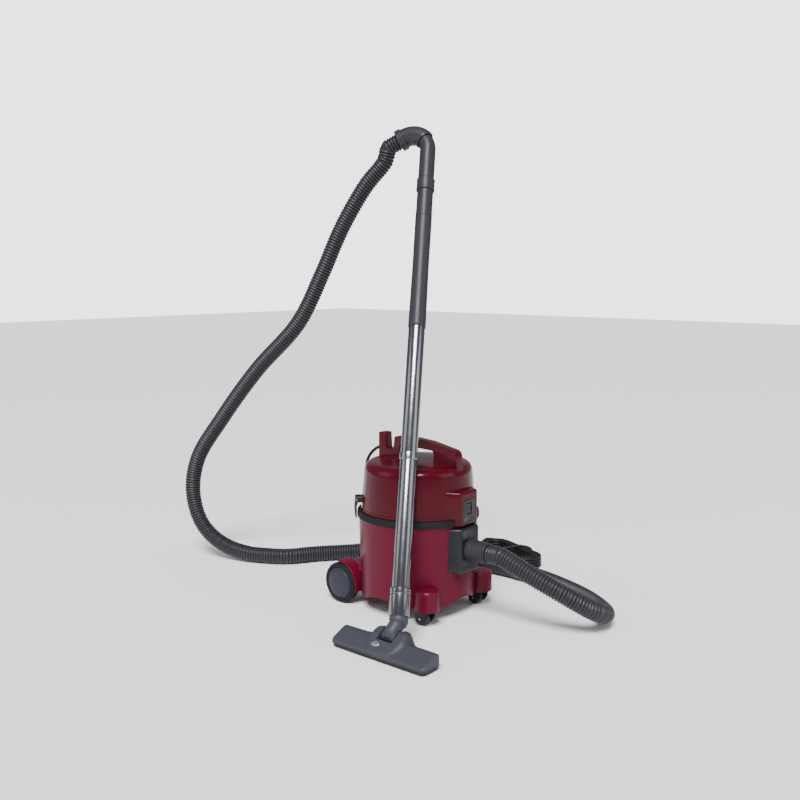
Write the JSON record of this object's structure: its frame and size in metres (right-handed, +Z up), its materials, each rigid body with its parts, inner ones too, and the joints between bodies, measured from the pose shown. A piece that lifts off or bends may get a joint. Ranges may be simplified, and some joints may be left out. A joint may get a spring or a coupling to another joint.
{
  "type": "tub vacuum cleaner",
  "caption": "Round tub vacuum cleaner with a domed lift-off motor head, bridge handle, corrugated suction hose, chrome wand and hard-floor tool, and a tied mains lead.",
  "frame": {"origin": "centre, at floor level, of the footprint of the appliance without its hose and lead", "axes": "+Z up, -Y the side with the switch and the hose inlet, +X the machine's left"},
  "size_m": [0.8235, 1.1329, 1.0767],
  "materials": {
    "burgundy": "gloss",
    "tank_red": "satin gloss",
    "black": "satin",
    "rubber": "matte",
    "hub_grey": "satin",
    "hose_grey": "satin",
    "tool_grey": "matte",
    "chrome": "polished",
    "steel": "satin",
    "copper": null,
    "cloth": "woven",
    "white_plastic": "matte",
    "bristle": "brush"
  },
  "bodies": {
    "machine": {"tank_shell": "tank_red", "rim_seal": "black", "inlet_block": "black", "rear_axle": "steel", "hose": "hose_grey", "power_cord": "rubber", "cord_hank": "rubber", "cord_tie": "black", "cord_tail": "rubber", "plug": "rubber"},
    "rear_wheel_right": {"wheel_hub_right": "hub_grey", "tyre_right": "rubber"},
    "rear_wheel_left": {"wheel_hub_left": "hub_grey", "tyre_left": "rubber"},
    "caster_right": {"caster_fork_right": "black", "caster_pin_right": "steel"},
    "caster_left": {"caster_fork_left": "black", "caster_pin_left": "steel"},
    "caster_roller_right": {"caster_wheel_right": "rubber"},
    "caster_roller_left": {"caster_wheel_left": "rubber"},
    "head": {"head_cover": "burgundy", "exhaust_grille": "black", "carry_handle": "burgundy", "switch_housing": "burgundy", "switch_panel": "black", "motor_plate": "black", "motor_gasket": "rubber", "fan_housing": "steel", "motor_field": "copper", "motor_end_cap": "black", "filter_cage": "black", "filter_ring": "white_plastic", "filter_cloth": "cloth", "latch_bracket_right": "black", "latch_bracket_left": "black", "latch_pin_right": "steel", "latch_pin_left": "steel", "cord_gland": "rubber"},
    "rotor": {"fan_impeller": "steel", "motor_armature": "copper", "motor_shaft": "steel"},
    "rocker": {"switch_rocker": "hub_grey"},
    "latch_lever_right": {"latch_right": "black"},
    "latch_lever_left": {"latch_left": "black"},
    "inlet_cuff": {"hose_inlet_cuff": "tool_grey"},
    "wand": {"neck_sleeve": "tool_grey", "lower_tube": "chrome", "upper_tube": "chrome", "tube_collar": "chrome", "grip_tube": "hose_grey", "handle_bend": "hose_grey", "hose_elbow": "hose_grey"},
    "regulator": {"air_regulator": "hose_grey"},
    "hose_swivel": {"hose_nut": "hose_grey"},
    "neck": {"neck_elbow": "tool_grey", "neck_pin": "steel"},
    "floor_tool": {"tool_shell": "tool_grey", "sole_plate": "steel", "bristle_strip_front": "bristle", "bristle_strip_rear": "bristle"}
  },
  "joints": [
    {"name": "head_lift", "type": "slide", "parent": "machine", "child": "head", "axis": [0, 0, 1], "range_m": [0, 0.07], "deforming": ["power_cord"]},
    {"name": "rear_wheel_right_spin", "type": "hinge", "parent": "machine", "child": "rear_wheel_right", "pos_m": [-0.00718, 0.186, 0.046], "axis": [1, 0, 0], "continuous": true},
    {"name": "caster_right_swivel", "type": "hinge", "parent": "machine", "child": "caster_right", "pos_m": [-0.01188, -0.059, 0.03], "axis": [0, 0, 1], "continuous": true},
    {"name": "caster_right_roll", "type": "hinge", "parent": "caster_right", "child": "caster_roller_right", "pos_m": [-0.01188, -0.049, 0.0145], "axis": [1, 0, 0], "continuous": true},
    {"name": "latch_right_swing", "type": "hinge", "parent": "head", "child": "latch_lever_right", "pos_m": [-0.01626, 0.14258, 0.245], "axis": [0.7071, 0.7071, 0], "range_deg": [0, 100]},
    {"name": "rear_wheel_left_spin", "type": "hinge", "parent": "machine", "child": "rear_wheel_left", "pos_m": [0.16982, 0.186, 0.046], "axis": [1, 0, 0], "continuous": true},
    {"name": "caster_left_swivel", "type": "hinge", "parent": "machine", "child": "caster_left", "pos_m": [0.17452, -0.059, 0.03], "axis": [0, 0, 1], "continuous": true},
    {"name": "caster_left_roll", "type": "hinge", "parent": "caster_left", "child": "caster_roller_left", "pos_m": [0.17452, -0.049, 0.0145], "axis": [1, 0, 0], "continuous": true},
    {"name": "latch_left_swing", "type": "hinge", "parent": "head", "child": "latch_lever_left", "pos_m": [0.1789, 0.14258, 0.245], "axis": [0.7071, -0.7071, 0], "range_deg": [0, 100]},
    {"name": "motor_spin", "type": "hinge", "parent": "head", "child": "rotor", "pos_m": [0.08132, 0.045, 0.25], "axis": [0, 0, 1], "continuous": true},
    {"name": "switch_rock", "type": "hinge", "parent": "head", "child": "rocker", "pos_m": [0.08132, -0.0935, 0.244], "axis": [1, 0, 0], "range_deg": [0, 16]},
    {"name": "inlet_cuff_swivel", "type": "hinge", "parent": "machine", "child": "inlet_cuff", "pos_m": [0.08132, -0.1015, 0.154], "axis": [0, -1, 0], "continuous": true},
    {"name": "wand_lift", "type": "slide", "parent": "machine", "child": "wand", "axis": [0, 0, 1], "range_m": [0, 0.1]},
    {"name": "regulator_turn", "type": "hinge", "parent": "wand", "child": "regulator", "pos_m": [0.16609, 0.09834, 0.92418], "axis": [0.3468, 0.221, 0.9115], "range_deg": [0, 60]},
    {"name": "hose_swivel_turn", "type": "hinge", "parent": "wand", "child": "hose_swivel", "pos_m": [0.19308, 0.18636, 1.04848], "axis": [-0.4827, 0.7257, -0.4903], "continuous": true},
    {"name": "neck_turn", "type": "hinge", "parent": "wand", "child": "neck", "pos_m": [-0.15818, -0.1083, 0.0719], "axis": [0.3468, 0.221, 0.9115], "range_deg": [-45, 45]},
    {"name": "tool_tilt", "type": "hinge", "parent": "neck", "child": "floor_tool", "pos_m": [-0.18268, -0.11, 0.036], "axis": [0, 1, 0], "range_deg": [-25, 45]}
  ]
}
